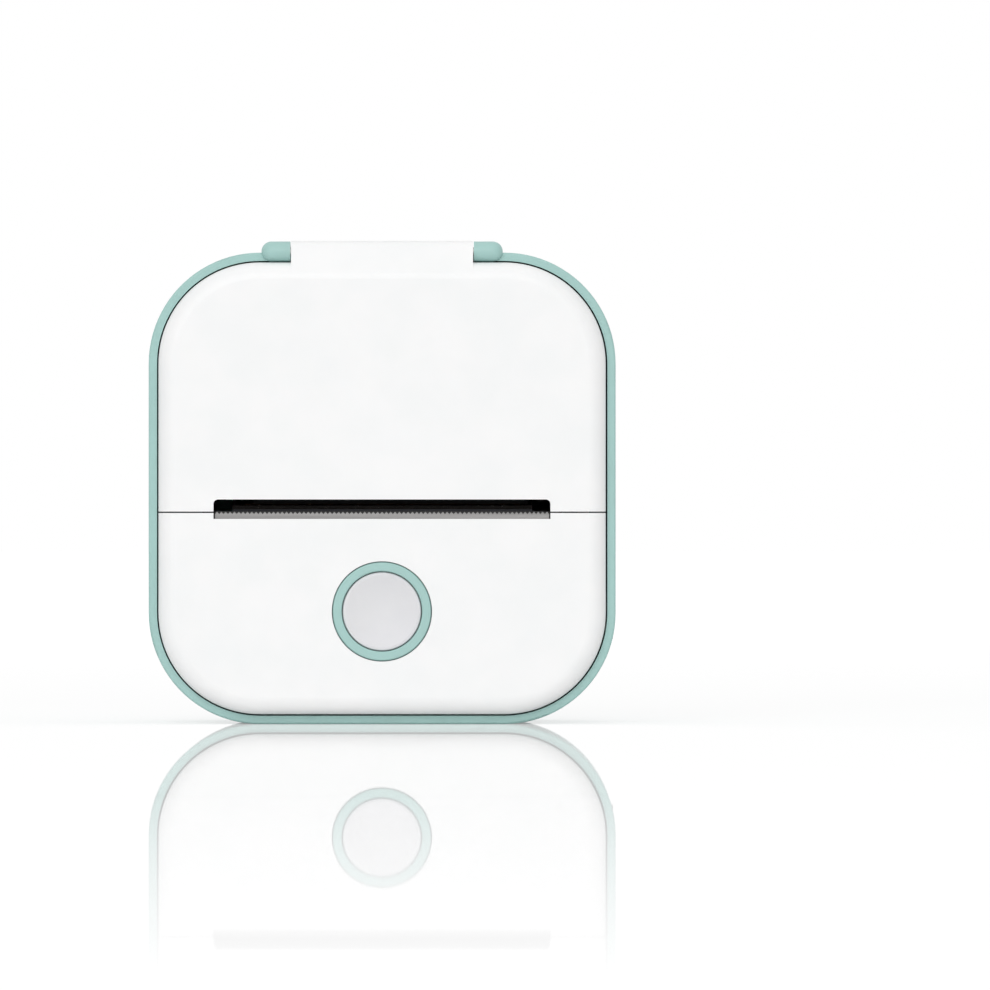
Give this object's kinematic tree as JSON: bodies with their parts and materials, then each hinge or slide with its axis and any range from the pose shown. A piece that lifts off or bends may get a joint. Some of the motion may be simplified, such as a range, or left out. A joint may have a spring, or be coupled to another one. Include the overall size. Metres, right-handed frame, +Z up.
{
  "type": "pocket printer",
  "caption": "Rounded-square pocket thermal printer with a mint shell, a hinged white lid over a paper bay, a paper slot with a serrated tear bar, and a round push button.",
  "frame": {"origin": "under the middle of the case, on the surface it stands on", "axes": "+X to the right of someone facing the front, -Y out of the front, +Z up"},
  "size_m": [0.084, 0.042, 0.0869],
  "materials": {
    "mint_abs": "fine spark-eroded texture",
    "white_abs": "satin moulded",
    "grey_abs": "satin moulded",
    "black_plastic": "matt moulded",
    "bay_plastic": "matt moulded",
    "steel": "ground",
    "blade_steel": "stamped",
    "aluminium": "extruded",
    "brass": "cut",
    "rubber": "ground",
    "gear_plastic": "moulded acetal",
    "ceramic": "glazed strip",
    "board": "solder mask",
    "chip": "moulded",
    "foil": "wrapped",
    "lead_red": "extruded",
    "ribbon": "film"
  },
  "bodies": {
    "case": {"rear_shell": "mint_abs", "hinge_pin": "steel", "front_panel": "white_abs", "tear_bar": "blade_steel", "idler_pin": "steel", "stepper_motor": "steel", "mechanism_frame": "black_plastic", "head_pin": "steel", "head_springs": "steel", "paper_bay": "bay_plastic", "paper_sensor": "chip", "button_bezel": "mint_abs", "button_switch": "chip", "button_board": "board", "main_board": "board", "board_chips": "chip", "radio_shield": "steel", "ribbon_socket": "gear_plastic", "head_ribbon": "ribbon", "usb_socket": "steel", "battery_cell": "foil", "battery_leads": "lead_red", "battery_plug": "gear_plastic", "case_screws": "steel", "bay_screws": "steel", "board_screws": "steel", "button_board_screws": "steel", "frame_screws": "steel"},
    "lid": {"lid_cover": "white_abs", "lid_frame": "black_plastic", "platen_bushes": "gear_plastic"},
    "platen": {"platen_shaft": "steel", "platen_rubber": "rubber", "platen_gear": "gear_plastic"},
    "idler": {"idler_gear": "gear_plastic"},
    "motor": {"motor_shaft": "steel", "motor_pinion": "brass"},
    "head": {"print_head": "ceramic", "head_heatsink": "aluminium"},
    "button": {"power_button": "grey_abs", "switch_plunger": "chip"}
  },
  "joints": [
    {"name": "lid_hinge", "type": "hinge", "parent": "case", "child": "lid", "pos_m": [0, -0.017, 0.085], "axis": [-1, 0, 0], "range_deg": [0, 100]},
    {"name": "platen_spin", "type": "hinge", "parent": "lid", "child": "platen", "pos_m": [0, -0.0135, 0.044], "axis": [1, 0, 0], "continuous": true},
    {"name": "idler_spin", "type": "hinge", "parent": "case", "child": "idler", "pos_m": [0, -0.00585, 0.044], "axis": [1, 0, 0], "continuous": true},
    {"name": "motor_spin", "type": "hinge", "parent": "case", "child": "motor", "pos_m": [0, -0.00055, 0.03642], "axis": [1, 0, 0], "continuous": true},
    {"name": "head_pivot", "type": "hinge", "parent": "case", "child": "head", "pos_m": [0, -0.0074, 0.0374], "axis": [1, 0, 0], "range_deg": [0, 2], "stiffness_Nm_per_rad": 0.5, "springref_deg": -5.73, "deforming": ["head_springs"]},
    {"name": "button_press", "type": "slide", "parent": "case", "child": "button", "axis": [0, 1, 0], "range_m": [0, 0.0005], "stiffness_N_per_m": 1500, "springref_m": -0.0003}
  ],
  "couplings": [
    {"joint": "idler_spin", "follows": "platen_spin", "ratio": -1.7143},
    {"joint": "motor_spin", "follows": "platen_spin", "ratio": 6.1714}
  ]
}
